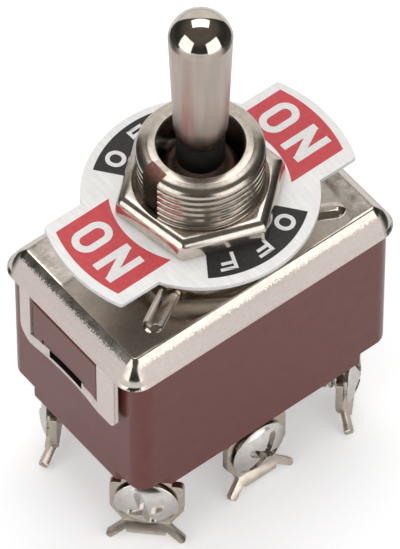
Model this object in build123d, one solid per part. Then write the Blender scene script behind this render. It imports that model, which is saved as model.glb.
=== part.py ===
from build123d import *
import os
from math import asin, cos, radians, sin, sqrt, tan

# Panel-mounting toggle switch, two poles, on - off - on, with six screw terminals.
# Millimetres. +Z points up along the bushing, X is the way the lever throws, and the
# origin lies on the bushing's axis in the top face of the cover.

# ---- Driving dimensions -------------------------------------------------------------

# Pressed cover
SHEET = 0.5
COVER_LENGTH = 31.9
COVER_WIDTH = 19.9
COVER_CORNER = 2.2
COVER_BEND = 2.1
SKIRT_DEPTH = 2.55
TAB_WIDTH = 14.0
TAB_DEPTH = 9.75
TAB_SHIFT = 0.35
TAB_CORNER = 2.0
TAB_SHARP_CORNER = 0.8
WINDOW_WIDTH = 9.95
WINDOW_SHIFT = 0.17
WINDOW_BOTTOM = 8.25
STRAP_DENT = 0.3
BEAD_ANGLE = 29.5
BEAD_LENGTH = 5.9
BEAD_INSET = 4.45
BEAD_WIDTH = 2.1
BEAD_HEIGHT = 0.5
BEAD_SHIFT = 0.4

# Moulded housing
HOUSING_BOTTOM = 19.7
HOUSING_CORNER = 1.7
END_WALL = 1.7
SIDE_WALL = 1.65
FLOOR = 3.1
CAVITY_CORNER = 1.0
CORNER_LIFT = 1.35
CORNER_RELIEF = 3.7
DIVIDER = 1.6
DIVIDER_TOP = 8.8
LUG_HEIGHT = 5.3
LUG_ARCH_WIDTH = 7.2
LUG_ARCH_RISE = 0.75
LUG_SHY = 0.15
LUG_RAMP = 0.7
LUG_BEVEL = 0.4

# Bushing, nuts, washer and plate
THREAD_RADIUS = 5.95
BUSHING_HEIGHT = 12.7
BORE_RADIUS = 4.02
RIM_RADIUS = 4.72
RIM_CHAMFER = 0.8
COLLAR_RADIUS = 6.75
COLLAR_HEIGHT = 1.5
SPIGOT_RADIUS = 5.45
LIP_RADIUS = 6.6
LIP_HEIGHT = 0.8
KEYWAY_WIDTH = 2.1
KEYWAY_FLOOR = 4.7
THREAD_PITCH_RADIUS = 5.6
THREAD_RELIEF = 0.3
NUT_FLATS = 14.3
PANEL_NUT_HEIGHT = 2.1
BACK_NUT_HEIGHT = 2.85
NUT_CROWN = 6.95
NUT_CHAMFER_ANGLE = 32.0
PANEL_NUT_TURN = 39.4
BACK_NUT_TURN = 25.0
PLATE_THICKNESS = 0.5
PLATE_RADIUS = 11.0
PLATE_TAB_REACH = 14.8
PLATE_TAB_WIDTH = 11.45
PLATE_FILLET = 0.4
WASHER_THICKNESS = 0.6
WASHER_RADIUS = 7.6
WASHER_RING = 0.9
WASHER_TEETH = 12

# Lever
PIVOT_HEIGHT = 7.8
LEVER_THROW = 12.0
BALL_RADIUS = 3.8
NECK_RADIUS = 1.75
SEAL_RADIUS = 2.25
SHOULDER_START = 13.9
SHOULDER_END = 15.3
SHOULDER_RADIUS = 2.1
BARREL_FOOT_RADIUS = 2.5
BARREL_HEAD_RADIUS = 2.93
CAP_CENTRE = 27.33
CAP_RADIUS = 2.96
TAIL_RADIUS = 1.7
SPIGOT_END_RADIUS = 1.25
PEEN_RADIUS = 1.75
PEEN_HEIGHT = 0.5
PIN_RADIUS = 0.95
PIN_LENGTH = 9.7

# Driver, plungers and springs
POLE_OFFSET = 4.1
DRIVER_TOP = 3.0
DRIVER_WEB = 3.6
DRIVER_HALF_THICKNESS = 2.2
DRIVER_HUB_RADIUS = 2.9
BARREL_RADIUS = 2.3
BARREL_ROOF = 1.2
PLUNGER_RADIUS = 1.45
PLUNGER_LENGTH = 4.7
PLUNGER_SHOW = 2.1
PLUNGER_TRAVEL = 0.6
SPRING_WIRE = 0.4
SPRING_TURNS = 4.0

# Rocker contacts and silver points
ROCKER_THICKNESS = 0.8
ROCKER_WIDTH = 4.4
ROCKER_DIP = 5.0
ROCKER_END = 1.2
ROCKER_RISE = 2.9
TRUNNION_RADIUS = 0.55
CONTACT_RADIUS = 1.3
CONTACT_HEIGHT = 0.6
CONTACT_SHANK = 0.7

# Terminals
TERMINAL_THICKNESS = 0.7
BLADE_WIDTH = 7.0
BLADE_DROP = 2.5
BLADE_HEIGHT = 3.7
BLADE_FILLET = 0.5
WAIST_WIDTH = 4.7
WAIST_DROP = 2.0
NECK_WIDTH = 4.74
TANG_WIDTH = 2.8
TANG_SHOULDER = 1.0
PRONG_WIDTH = 0.8
PRONG_SPREAD = 3.35
PRONG_LENGTH = 1.8
PRONG_BEND = 32.0
CROTCH = 1.55
CORNER_INSET_X = 3.15
CORNER_INSET_Y = 3.05
CENTRE_INSET = 1.75
PAD_RADIUS = 1.8
CRADLE_HALF_WIDTH = 2.2
EAR_THICKNESS = 0.8
EAR_SPACING = 2.2

# Terminal screws
SCREW_DROP = 2.5
SCREW_RADIUS = 1.65
SCREW_LENGTH = 5.0
HEAD_RADIUS = 3.05
SHOULDER_RADIUS = 2.3
SHOULDER_HEIGHT = 0.3
HEAD_RIM = 0.5
HEAD_HEIGHT = 1.1
HEAD_SLOPE = 1.4
RECESS_WIDTH = 0.8
RECESS_DEPTH = 0.6

# ---- Clearances ---------------------------------------------------------------------

SLIDE_FIT = 0.05
THREAD_FIT = 0.02
SEAT_GAP = 0.04
SWING_GAP = 0.1
CONTACT_GAP = 0.1
END_GAP = 0.5
FLUSH_GAP = 0.1

# ---- Worked-out places --------------------------------------------------------------

tab_plane = COVER_LENGTH / 2
inner_length = COVER_LENGTH - 2 * SHEET
inner_width = COVER_WIDTH - 2 * SHEET
bead_end = (tab_plane - BEAD_INSET) / cos(radians(BEAD_ANGLE))
bead_start = bead_end - BEAD_LENGTH

housing_length = inner_length - 2 * END_GAP
housing_width = COVER_WIDTH - 2 * FLUSH_GAP
cavity_length = housing_length - 2 * END_WALL
cavity_width = housing_width - 2 * SIDE_WALL
floor_z = FLOOR - HOUSING_BOTTOM

# The back nut, washer, plate and panel nut stand on the collar, one on the other.
collar_top = COLLAR_HEIGHT
washer_bottom = collar_top + BACK_NUT_HEIGHT
plate_bottom = washer_bottom + WASHER_THICKNESS
plate_top = plate_bottom + PLATE_THICKNESS
nut_top = plate_top + PANEL_NUT_HEIGHT
thread_top = BUSHING_HEIGHT - RIM_CHAMFER
free_thread_bottom = nut_top + THREAD_RELIEF
nut_bore = THREAD_PITCH_RADIUS + THREAD_FIT
plate_bore = THREAD_RADIUS + SLIDE_FIT

corner_terminal_x = housing_length / 2 - CORNER_INSET_X
corner_terminal_y = housing_width / 2 - CORNER_INSET_Y
centre_terminal_y = housing_width / 2 - CENTRE_INSET
pad_top = floor_z + TERMINAL_THICKNESS
tang_step_z = floor_z - TANG_SHOULDER
blade_top = -HOUSING_BOTTOM - BLADE_DROP
blade_bottom = blade_top - BLADE_HEIGHT
waist_z = blade_bottom - WAIST_DROP
screw_z = blade_top - SCREW_DROP

rocker_top = floor_z + ROCKER_RISE
plunger_tip = rocker_top + SWING_GAP
plunger_top = plunger_tip + PLUNGER_LENGTH
barrel_bottom = plunger_tip + PLUNGER_SHOW
web_bottom = -DRIVER_TOP - DRIVER_WEB
tip_centre = plunger_tip + PLUNGER_RADIUS
tip_arm = PIVOT_HEIGHT - tip_centre
rocker_pivot = rocker_top - ROCKER_THICKNESS + SLIDE_FIT
rocker_throw = LEVER_THROW / 2
tip_height = tip_centre - rocker_pivot
# The plunger's tip runs along a nearly round path in the rocker's own frame.
path_radius = (tip_arm - tip_height / 2) ** 2 / (2 * tip_arm)
dip_radius = path_radius + PLUNGER_RADIUS + SWING_GAP
arm_top = rocker_top + dip_radius - sqrt(dip_radius**2 - ROCKER_DIP**2)
arm_bottom = arm_top - ROCKER_THICKNESS

# The corner terminals' pads reach inwards at 45 degrees to the middle of each pole.
pad_reach = (corner_terminal_y - POLE_OFFSET) * sqrt(2)
contact_x = corner_terminal_x - pad_reach / sqrt(2)
rocker_reach = contact_x + ROCKER_END
dome_radius = (CONTACT_RADIUS**2 + CONTACT_HEIGHT**2) / (2 * CONTACT_HEIGHT)
dome_centre = arm_bottom - CONTACT_HEIGHT + dome_radius - rocker_pivot
closed_low = (
    rocker_pivot
    - contact_x * sin(radians(rocker_throw))
    + dome_centre * cos(radians(rocker_throw))
    - dome_radius
)
fixed_contact_height = closed_low - CONTACT_GAP - pad_top
ear_top = rocker_pivot - CRADLE_HALF_WIDTH * tan(radians(rocker_throw)) + SEAT_GAP

CORNERS = {
    "left_front": (-1, -1),
    "left_rear": (-1, 1),
    "right_front": (1, -1),
    "right_rear": (1, 1),
}
POLES = {"front": -1, "rear": 1}


def block(length, width, low, high):
    """A box centred on the Z axis between two heights."""
    return Pos(0, 0, (low + high) / 2) * Box(length, width, high - low)


def rounded_block(length, width, low, high, corner):
    """A box with its four upright edges rounded."""
    solid = block(length, width, low, high)
    return fillet(solid.edges().filter_by(Axis.Z), corner)


def disc(radius, low, high):
    return Pos(0, 0, (low + high) / 2) * Cylinder(radius, high - low)


def dome(radius, height, base):
    """A spherical cap standing on the plane z = base."""
    ball = (radius**2 + height**2) / (2 * height)
    return Pos(0, 0, base + height - ball) * Sphere(ball) & disc(radius, base, base + height)


def housing():
    """Box open at the top, rebated under the skirt, with latch lugs and terminal slots."""
    rebate_z = -SKIRT_DEPTH - SLIDE_FIT
    upper_width = inner_width - 2 * SLIDE_FIT
    body = rounded_block(
        housing_length, housing_width, -HOUSING_BOTTOM, rebate_z, HOUSING_CORNER
    )
    rim = rounded_block(housing_length, upper_width, rebate_z, -SHEET, HOUSING_CORNER)
    rim = fillet(rim.edges().group_by(Axis.Z)[-1], COVER_BEND - SHEET + SLIDE_FIT)
    shell = body + rim
    shell -= rounded_block(cavity_length, cavity_width, floor_z, 0, CAVITY_CORNER)
    shell += block(cavity_length, DIVIDER, floor_z, -DIVIDER_TOP)
    relief_top = CORNER_LIFT - HOUSING_BOTTOM
    for side_x, side_y in CORNERS.values():
        corner = Pos(side_x * housing_length / 2, side_y * housing_width / 2)
        relief = corner * Rot(0, 0, 45) * block(
            CORNER_RELIEF * sqrt(2), CORNER_RELIEF * sqrt(2), -HOUSING_BOTTOM, relief_top
        )
        shell -= relief
        place = terminal_place(side_x * corner_terminal_x, side_y * corner_terminal_y)
        shell -= place * terminal_slot()
    for side_y in POLES.values():
        place = terminal_place(0, side_y * centre_terminal_y)
        shell -= place * terminal_slot()
        shell -= place * tang_groove()
    for side in (-1, 1):
        shell += Pos(side * housing_length / 2) * Rot(0, 0, 90 - 90 * side) * latch_lug()
    return shell


def latch_lug():
    """Snap lug on an end face, facing +X: ramped on top, bevelled on both sides, arched below."""
    reach = tab_plane - LUG_SHY - housing_length / 2
    top = -SKIRT_DEPTH - SLIDE_FIT
    width = WINDOW_WIDTH - 4 * SLIDE_FIT
    bottom = top - LUG_HEIGHT
    lug = Pos(0, 0, (top + bottom) / 2) * Box(2 * reach, width, LUG_HEIGHT)
    half_arch = LUG_ARCH_WIDTH / 2
    arch_radius = (half_arch**2 + LUG_ARCH_RISE**2) / (2 * LUG_ARCH_RISE)
    arch = Pos(0, 0, bottom + LUG_ARCH_RISE - arch_radius) * Rot(0, 90, 0) * Cylinder(
        arch_radius, 4 * reach
    )
    front = lug.faces().sort_by(Axis.X)[-1]
    lug = chamfer(front.edges().sort_by(Axis.Z)[-1], LUG_RAMP)
    front = lug.faces().sort_by(Axis.X)[-1]
    lug = chamfer(front.edges().filter_by(Axis.Z), LUG_BEVEL)
    return Pos(0, -WINDOW_SHIFT) * (lug - arch)


def terminal_place(x, y):
    """Puts a terminal that faces +X at (x, y), facing out from the switch."""
    turn = (45 if y > 0 else -45) if x > 0 else (135 if y > 0 else -135)
    if x == 0:
        turn = 90 if y > 0 else -90
    return Pos(x, y) * Rot(0, 0, turn)


def terminal_slot():
    """Stepped slot through the floor: wide below for the neck, narrow above for the tang."""
    thickness = TERMINAL_THICKNESS + SLIDE_FIT
    wide = block(thickness, NECK_WIDTH + 2 * SLIDE_FIT, -HOUSING_BOTTOM, tang_step_z)
    narrow = block(thickness, TANG_WIDTH + 2 * SLIDE_FIT, tang_step_z, floor_z)
    return wide + narrow


def tang_groove():
    """Upright groove in the side wall, which lets a centre terminal's tang stand."""
    thickness = TERMINAL_THICKNESS + SLIDE_FIT
    return block(thickness, TANG_WIDTH + 2 * SLIDE_FIT, floor_z, 0)


def bead(width, base):
    """Capsule along +X that stands one bead high and wide out of the plane z = base."""
    radius = (width**2 / 4 + BEAD_HEIGHT**2) / (2 * BEAD_HEIGHT)
    length = bead_end - bead_start - width
    start = bead_start + width / 2
    core = Pos(start + length / 2) * Rot(0, 90, 0) * Cylinder(radius, length)
    capsule = core + Pos(start) * Sphere(radius) + Pos(start + length) * Sphere(radius)
    middle = Pos(start + length / 2)
    above = middle * block(2 * bead_end, 4 * radius, base, base + 2 * radius)
    return Pos(0, 0, base + BEAD_HEIGHT - radius) * capsule & above


def cover():
    """One sheet, pressed to a tray with beads and two windowed latch tabs."""
    outer = rounded_block(COVER_LENGTH, COVER_WIDTH, -SKIRT_DEPTH, 0, COVER_CORNER)
    outer = fillet(outer.edges().group_by(Axis.Z)[-1], COVER_BEND)
    inner = rounded_block(
        inner_length, inner_width, -SKIRT_DEPTH, -SHEET, COVER_CORNER - SHEET
    )
    inner = fillet(inner.edges().group_by(Axis.Z)[-1], COVER_BEND - SHEET)
    tray = outer - inner
    crown = bead(BEAD_WIDTH, 0)
    hollow = bead(BEAD_WIDTH - SHEET, -SHEET)
    for side_x, side_y in CORNERS.values():
        turn = BEAD_ANGLE * side_x * side_y + (0 if side_x > 0 else 180)
        place = Pos(BEAD_SHIFT, 0) * Rot(0, 0, turn)
        tray += place * crown
        tray -= place * hollow
    tray -= disc(SPIGOT_RADIUS + THREAD_FIT, -SHEET, 0)
    for turn in (0, 180):
        tray += Rot(0, 0, turn) * latch_tab()
    return tray


def latch_tab():
    """End tab facing +X: two legs and a strap that is dented inwards below the window."""
    tab_top = -COVER_BEND
    height = TAB_DEPTH + tab_top
    legs = block(SHEET, TAB_WIDTH, -TAB_DEPTH, tab_top)
    legs = Pos(tab_plane - SHEET / 2, TAB_SHIFT) * legs
    window_top = -SKIRT_DEPTH
    window = Pos(tab_plane, -WINDOW_SHIFT) * block(4 * SHEET, WINDOW_WIDTH, -2 * TAB_DEPTH, window_top)
    legs -= window
    half = WINDOW_WIDTH / 2
    outer_x = tab_plane
    inner_x = tab_plane - SHEET
    strap_outline = Polyline((inner_x, -half), (outer_x, -half))
    strap_outline += ThreePointArc((outer_x, -half), (outer_x - STRAP_DENT, 0), (outer_x, half))
    strap_outline += Line((outer_x, half), (inner_x, half))
    strap_outline += ThreePointArc((inner_x, half), (inner_x - STRAP_DENT, 0), (inner_x, -half))
    strap_place = Pos(0, -WINDOW_SHIFT, -TAB_DEPTH)
    strap = extrude(strap_place * make_face(strap_outline), TAB_DEPTH - WINDOW_BOTTOM)
    tab = legs + strap
    outline = Plane.YZ * Pos(TAB_SHIFT, -TAB_DEPTH + height / 2) * Rectangle(TAB_WIDTH, height)
    outline = fillet(outline.vertices().group_by(Axis.Z)[0].sort_by(Axis.Y)[0], TAB_CORNER)
    outline = fillet(outline.vertices().sort_by(Axis.Z)[0:2].sort_by(Axis.Y)[-1], TAB_SHARP_CORNER)
    return tab & extrude(outline, 2 * tab_plane)


def bushing():
    """Bushing swaged into the cover and keyed on -X, at pitch radius where the nuts sit."""
    outline = Polyline(
        (BORE_RADIUS, -SHEET - LIP_HEIGHT),
        (LIP_RADIUS, -SHEET - LIP_HEIGHT),
        (LIP_RADIUS, -SHEET),
        (SPIGOT_RADIUS, -SHEET),
        (SPIGOT_RADIUS, 0),
        (COLLAR_RADIUS, 0),
        (COLLAR_RADIUS, collar_top),
        (THREAD_PITCH_RADIUS, collar_top),
        (THREAD_PITCH_RADIUS, free_thread_bottom),
        (THREAD_RADIUS, free_thread_bottom),
        (THREAD_RADIUS, thread_top),
        (RIM_RADIUS, BUSHING_HEIGHT),
        (BORE_RADIUS, BUSHING_HEIGHT),
        close=True,
    )
    body = revolve(make_face(Plane.XZ * outline), Axis.Z)
    keyway = block(THREAD_RADIUS, KEYWAY_WIDTH, collar_top, BUSHING_HEIGHT)
    body -= Pos(-KEYWAY_FLOOR - THREAD_RADIUS / 2) * keyway
    groove_radius = PIN_RADIUS + SLIDE_FIT
    groove_length = PIN_LENGTH + 2 * SLIDE_FIT
    body -= Pos(0, 0, PIVOT_HEIGHT) * Rot(90, 0, 0) * Cylinder(groove_radius, groove_length)
    body -= block(2 * groove_radius, groove_length, -SHEET - LIP_HEIGHT, PIVOT_HEIGHT)
    return body


def hex_nut(bottom, height, turn):
    """Thin hexagon nut, chamfered on its upper face."""
    hexagon = RegularPolygon(NUT_FLATS / 2, 6, major_radius=False)
    body = extrude(Pos(0, 0, bottom) * Rot(0, 0, turn) * hexagon, height)
    top = bottom + height
    skirt_drop = NUT_FLATS * tan(radians(NUT_CHAMFER_ANGLE))
    crown = Pos(0, 0, top - skirt_drop / 2) * Cone(
        NUT_CROWN + NUT_FLATS, NUT_CROWN, skirt_drop
    )
    return (body & crown) - disc(nut_bore, bottom, top)


def indicator_plate():
    """Punched plate: a disc with two tabs, and a key that sits in the bushing's keyway."""
    tabs = Circle(PLATE_TAB_REACH) & Rectangle(2 * PLATE_TAB_REACH, PLATE_TAB_WIDTH)
    tabs = fillet(tabs.vertices(), PLATE_FILLET)
    outline = Circle(PLATE_RADIUS) + tabs - Circle(plate_bore)
    key_width = KEYWAY_WIDTH - 2 * SLIDE_FIT
    key_tip = KEYWAY_FLOOR + 2 * SLIDE_FIT
    outline += Pos(-(PLATE_RADIUS + key_tip) / 2) * Rectangle(PLATE_RADIUS - key_tip, key_width)
    return extrude(Pos(0, 0, plate_bottom) * outline, PLATE_THICKNESS)


def lock_washer():
    """Flat ring with internal teeth, between the back nut and the plate."""
    ring = disc(WASHER_RADIUS, washer_bottom, plate_bottom)
    ring -= disc(plate_bore, washer_bottom, plate_bottom)
    pitch = 360 / WASHER_TEETH
    gap_outer = WASHER_RADIUS - WASHER_RING
    gap_width = gap_outer * radians(pitch) / 2
    gap = Pos(gap_outer / 2) * block(gap_outer, gap_width, washer_bottom, plate_bottom)
    for step in range(WASHER_TEETH):
        ring -= Rot(0, 0, step * pitch) * gap
    return ring


def lever():
    """Turned lever: bat handle, neck, ball on the cross pin, tail peened under the driver."""
    neck_z = PIVOT_HEIGHT + sqrt(BALL_RADIUS**2 - NECK_RADIUS**2)
    tail_z = PIVOT_HEIGHT - sqrt(BALL_RADIUS**2 - TAIL_RADIUS**2)
    edge_z = CAP_CENTRE + sqrt(CAP_RADIUS**2 - BARREL_HEAD_RADIUS**2)
    cap_top = CAP_CENTRE + CAP_RADIUS
    slant = CAP_RADIUS * sqrt(0.5)
    outline = Polyline(
        (0, web_bottom - PEEN_HEIGHT),
        (PEEN_RADIUS, web_bottom - PEEN_HEIGHT),
        (PEEN_RADIUS, web_bottom),
        (SPIGOT_END_RADIUS, web_bottom),
        (SPIGOT_END_RADIUS, -DRIVER_TOP),
        (TAIL_RADIUS, -DRIVER_TOP),
        (TAIL_RADIUS, tail_z),
    )
    outline += ThreePointArc(
        (TAIL_RADIUS, tail_z), (BALL_RADIUS, PIVOT_HEIGHT), (NECK_RADIUS, neck_z)
    )
    outline += Polyline(
        (NECK_RADIUS, neck_z),
        (NECK_RADIUS, SHOULDER_START),
        (SHOULDER_RADIUS, SHOULDER_START),
        (BARREL_FOOT_RADIUS, SHOULDER_END),
        (BARREL_HEAD_RADIUS, edge_z),
    )
    outline += ThreePointArc(
        (BARREL_HEAD_RADIUS, edge_z), (slant, CAP_CENTRE + slant), (0, cap_top)
    )
    outline += Line((0, cap_top), (0, web_bottom - PEEN_HEIGHT))
    body = revolve(make_face(Plane.XZ * outline), Axis.Z)
    pin_hole = Rot(90, 0, 0) * Cylinder(PIN_RADIUS + THREAD_FIT, 2 * BALL_RADIUS)
    return body - Pos(0, 0, PIVOT_HEIGHT) * pin_hole


def lever_pin():
    """Cross pin through the ball, which turns in the bushing's two blind grooves."""
    return Pos(0, 0, PIVOT_HEIGHT) * Rot(90, 0, 0) * Cylinder(PIN_RADIUS, PIN_LENGTH)


def neck_seal():
    """Rubber sleeve on the neck, between the ball and the handle's shoulder."""
    inner_z = PIVOT_HEIGHT + sqrt(BALL_RADIUS**2 - NECK_RADIUS**2) + SEAT_GAP
    outer_z = PIVOT_HEIGHT + sqrt(BALL_RADIUS**2 - SEAL_RADIUS**2) + SEAT_GAP
    outline = Polyline(
        (NECK_RADIUS + THREAD_FIT, inner_z),
        (SEAL_RADIUS, outer_z),
        (SEAL_RADIUS, SHOULDER_START),
        (NECK_RADIUS + THREAD_FIT, SHOULDER_START),
        close=True,
    )
    return revolve(make_face(Plane.XZ * outline), Axis.Z)


def driver():
    """Moulded cross-piece on the tail, with a barrel over each pole."""
    thickness = 2 * DRIVER_HALF_THICKNESS
    web = block(thickness, 2 * POLE_OFFSET, web_bottom, -DRIVER_TOP)
    body = web + disc(DRIVER_HUB_RADIUS, web_bottom, -DRIVER_TOP)
    for side in POLES.values():
        body += Pos(0, side * POLE_OFFSET) * disc(BARREL_RADIUS, barrel_bottom, -DRIVER_TOP)
    body = chamfer(body.edges().group_by(Axis.Z)[-1], LUG_BEVEL)
    bore_top = -DRIVER_TOP - BARREL_ROOF
    for side in POLES.values():
        bore = disc(PLUNGER_RADIUS + SLIDE_FIT, barrel_bottom, bore_top)
        body -= Pos(0, side * POLE_OFFSET) * bore
    return body - disc(SPIGOT_END_RADIUS + THREAD_FIT, web_bottom, -DRIVER_TOP)


def plunger():
    """Round-nosed plunger, pressed on the rocker by its spring."""
    return Pos(0, 0, tip_centre) * Sphere(PLUNGER_RADIUS) + disc(
        PLUNGER_RADIUS, tip_centre, plunger_top
    )


def plunger_spring():
    """Compression spring with its flat ends on the plunger and the barrel's roof."""
    low = plunger_top + SPRING_WIRE / 2
    high = -DRIVER_TOP - BARREL_ROOF - SPRING_WIRE / 2
    radius = PLUNGER_RADIUS - SPRING_WIRE / 2
    wire_path = Helix((high - low) / SPRING_TURNS, high - low, radius)
    start = Plane(wire_path @ 0, z_dir=wire_path % 0)
    wire = sweep(start * RegularPolygon(SPRING_WIRE / 2, 4), path=wire_path)
    return Pos(0, 0, low) * wire


def rocker():
    """Bent copper strip with a dip for the plunger and a half-round bead to turn on."""
    half_width = ROCKER_WIDTH / 2
    top = Line((-rocker_reach, arm_top), (-ROCKER_DIP, arm_top))
    top += ThreePointArc((-ROCKER_DIP, arm_top), (0, rocker_top), (ROCKER_DIP, arm_top))
    top += Line((ROCKER_DIP, arm_top), (rocker_reach, arm_top))
    bottom = Pos(0, -ROCKER_THICKNESS) * top
    ends = Line((-rocker_reach, arm_top), (-rocker_reach, arm_bottom))
    ends += Line((rocker_reach, arm_top), (rocker_reach, arm_bottom))
    profile = make_face(Plane.XZ * (top + bottom + ends))
    strip = extrude(profile, half_width, both=True)
    bead_rod = Rot(90, 0, 0) * Cylinder(TRUNNION_RADIUS, ROCKER_WIDTH)
    strip += Pos(0, 0, rocker_pivot) * bead_rod & block(
        4 * TRUNNION_RADIUS, ROCKER_WIDTH, rocker_pivot - TRUNNION_RADIUS, rocker_top - ROCKER_THICKNESS / 2
    )
    for side in (-1, 1):
        strip -= Pos(side * contact_x) * disc(CONTACT_SHANK, arm_bottom, arm_top)
    return strip


def moving_contacts():
    """The two domed points riveted under a rocker's arms."""
    head = Pos(0, 0, arm_bottom) * Rot(180, 0, 0) * dome(CONTACT_RADIUS, CONTACT_HEIGHT, 0)
    point = head + disc(CONTACT_SHANK - THREAD_FIT, arm_bottom, arm_top)
    return Pos(-contact_x) * point + Pos(contact_x) * point


def fixed_contacts():
    """The two flat points riveted on the corner terminals' pads."""
    head = disc(CONTACT_RADIUS, pad_top, pad_top + fixed_contact_height)
    head = chamfer(head.edges().group_by(Axis.Z)[-1], fixed_contact_height / 3)
    point = head + disc(CONTACT_SHANK - THREAD_FIT, floor_z, pad_top)
    return Pos(-contact_x) * point + Pos(contact_x) * point


def blade():
    """Outside of a terminal, facing +X: neck, screw plate and fishtail prongs."""
    half, waist = BLADE_WIDTH / 2, WAIST_WIDTH / 2
    outline = Polyline(
        (-waist, waist_z),
        (-half, blade_bottom),
        (-half, blade_top),
        (half, blade_top),
        (half, blade_bottom),
        (waist, waist_z),
        close=True,
    )
    face = make_face(outline)
    face = fillet(face.vertices().group_by(Axis.Y)[-1], BLADE_FILLET)
    face += Pos(0, (tang_step_z + blade_top) / 2) * Rectangle(NECK_WIDTH, tang_step_z - blade_top)
    plate = extrude(Plane.YZ * face, TERMINAL_THICKNESS / 2, both=True)
    hinge = Pos(0, 0, waist_z)
    plate += hinge * Rot(90, 0, 0) * Cylinder(TERMINAL_THICKNESS / 2, WAIST_WIDTH)
    plate += hinge * Rot(0, -PRONG_BEND, 0) * fishtail()
    hole = Pos(0, 0, screw_z) * Rot(0, 90, 0) * Cylinder(
        SCREW_RADIUS + THREAD_FIT, 2 * TERMINAL_THICKNESS
    )
    return plate - hole


def fishtail():
    """Two splayed round-ended prongs and the web between them, hanging below z = 0."""
    web = Polyline(
        (-WAIST_WIDTH / 2, 0),
        (WAIST_WIDTH / 2, 0),
        (WAIST_WIDTH / 2 - CROTCH / 3, -CROTCH),
        (CROTCH - WAIST_WIDTH / 2, -CROTCH),
        (CROTCH / 3 - WAIST_WIDTH / 2, -CROTCH),
        close=True,
    )
    face = make_face(web)
    for side in (-1, 1):
        root = (side * (WAIST_WIDTH / 2 - PRONG_WIDTH), -PRONG_WIDTH / 2)
        tip = (side * PRONG_SPREAD, -PRONG_LENGTH)
        middle = ((root[0] + tip[0]) / 2, (root[1] + tip[1]) / 2)
        face += SlotCenterPoint(middle, tip, PRONG_WIDTH)
    return extrude(Plane.YZ * face, TERMINAL_THICKNESS / 2, both=True)


def tang(pad):
    """Inside of a terminal: a tang through the floor, bent inwards over it into a pad."""
    half = TERMINAL_THICKNESS / 2
    upright = block(TERMINAL_THICKNESS, TANG_WIDTH, tang_step_z, pad_top)
    bend = upright.edges().filter_by(Axis.Y).sort_by(Axis.Z)[-2:].sort_by(Axis.X)[-1]
    upright = fillet(bend, TERMINAL_THICKNESS * 0.8)
    bridge = Pos(-half - PAD_RADIUS / 2) * block(PAD_RADIUS, TANG_WIDTH, floor_z, pad_top)
    return upright + bridge + pad


def corner_terminal():
    """Terminal with a round pad that carries a fixed contact."""
    middle = pad_reach - TERMINAL_THICKNESS
    pad = Pos(-pad_reach) * disc(PAD_RADIUS, floor_z, pad_top)
    pad += Pos(-pad_reach / 2 - TERMINAL_THICKNESS / 2) * block(
        middle, TANG_WIDTH, floor_z, pad_top
    )
    pad -= Pos(-pad_reach) * disc(CONTACT_SHANK, floor_z, pad_top)
    return blade() + tang(pad)


def centre_terminal():
    """Terminal with a cradle, whose two notched ears carry the rocker."""
    near = centre_terminal_y - POLE_OFFSET - ROCKER_WIDTH / 2
    far = centre_terminal_y - POLE_OFFSET + ROCKER_WIDTH / 2
    pad = Pos(-(near + far) / 2) * block(
        far - near, 2 * CRADLE_HALF_WIDTH, floor_z, pad_top
    )
    pad += Pos(-near / 2) * block(near, TANG_WIDTH, floor_z, pad_top)
    notch = Pos(0, 0, rocker_pivot) * Rot(0, 90, 0) * Cylinder(
        TRUNNION_RADIUS + SLIDE_FIT, 2 * far
    )
    for side in (-1, 1):
        middle = centre_terminal_y - POLE_OFFSET + side * EAR_SPACING / 2
        ear = block(EAR_THICKNESS, 2 * CRADLE_HALF_WIDTH, floor_z, ear_top)
        pad += Pos(-middle) * ear - notch
    return blade() + tang(pad)


def terminal_screw():
    """Slotted binding-head screw facing +X, its shoulder seated on the terminal."""
    seat = TERMINAL_THICKNESS / 2
    face = seat + SHOULDER_HEIGHT
    top = face + HEAD_HEIGHT
    body = disc(SCREW_RADIUS, seat - SCREW_LENGTH, seat)
    body += disc(SHOULDER_RADIUS, seat, face)
    head = disc(HEAD_RADIUS, face, top)
    head = chamfer(head.edges().group_by(Axis.Z)[-1], HEAD_HEIGHT - HEAD_RIM, HEAD_SLOPE)
    head -= block(2 * HEAD_RADIUS, RECESS_WIDTH, top - RECESS_DEPTH, top)
    return Pos(0, 0, screw_z) * Rot(0, 90, 0) * (body + head)


def write(name, shape):
    export_step(shape, f"parts/{name}.step")


os.makedirs("parts", exist_ok=True)
write("housing", housing())
write("cover", cover())
write("bushing", bushing())
write("back_nut", hex_nut(collar_top, BACK_NUT_HEIGHT, BACK_NUT_TURN))
write("lock_washer", lock_washer())
write("indicator_plate", indicator_plate())
write("panel_nut", hex_nut(plate_top, PANEL_NUT_HEIGHT, PANEL_NUT_TURN))
write("lever", lever())
write("lever_pin", lever_pin())
write("neck_seal", neck_seal())
write("driver", driver())
for pole, side in POLES.items():
    lane = Pos(0, side * POLE_OFFSET)
    write(f"plunger_{pole}", lane * plunger())
    write(f"plunger_spring_{pole}", lane * plunger_spring())
    write(f"rocker_{pole}", lane * rocker())
    write(f"moving_contacts_{pole}", lane * moving_contacts())
    write(f"fixed_contacts_{pole}", lane * fixed_contacts())
    place = terminal_place(0, side * centre_terminal_y)
    write(f"terminal_centre_{pole}", place * centre_terminal())
    write(f"screw_centre_{pole}", place * terminal_screw())
for corner, (side_x, side_y) in CORNERS.items():
    place = terminal_place(side_x * corner_terminal_x, side_y * corner_terminal_y)
    write(f"terminal_{corner}", place * corner_terminal())
    write(f"screw_{corner}", place * terminal_screw())
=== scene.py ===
"""Looks for a heavy-duty centre-off toggle switch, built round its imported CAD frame.

The modelling functions take millimetres in the frame of the CAD nodes: the origin lies on the bushing's
axis in the top face of the cover, X is the way the lever throws, and Z points up along the bushing.
"""
import math

import bpy
from mathutils import Matrix, Vector


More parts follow.
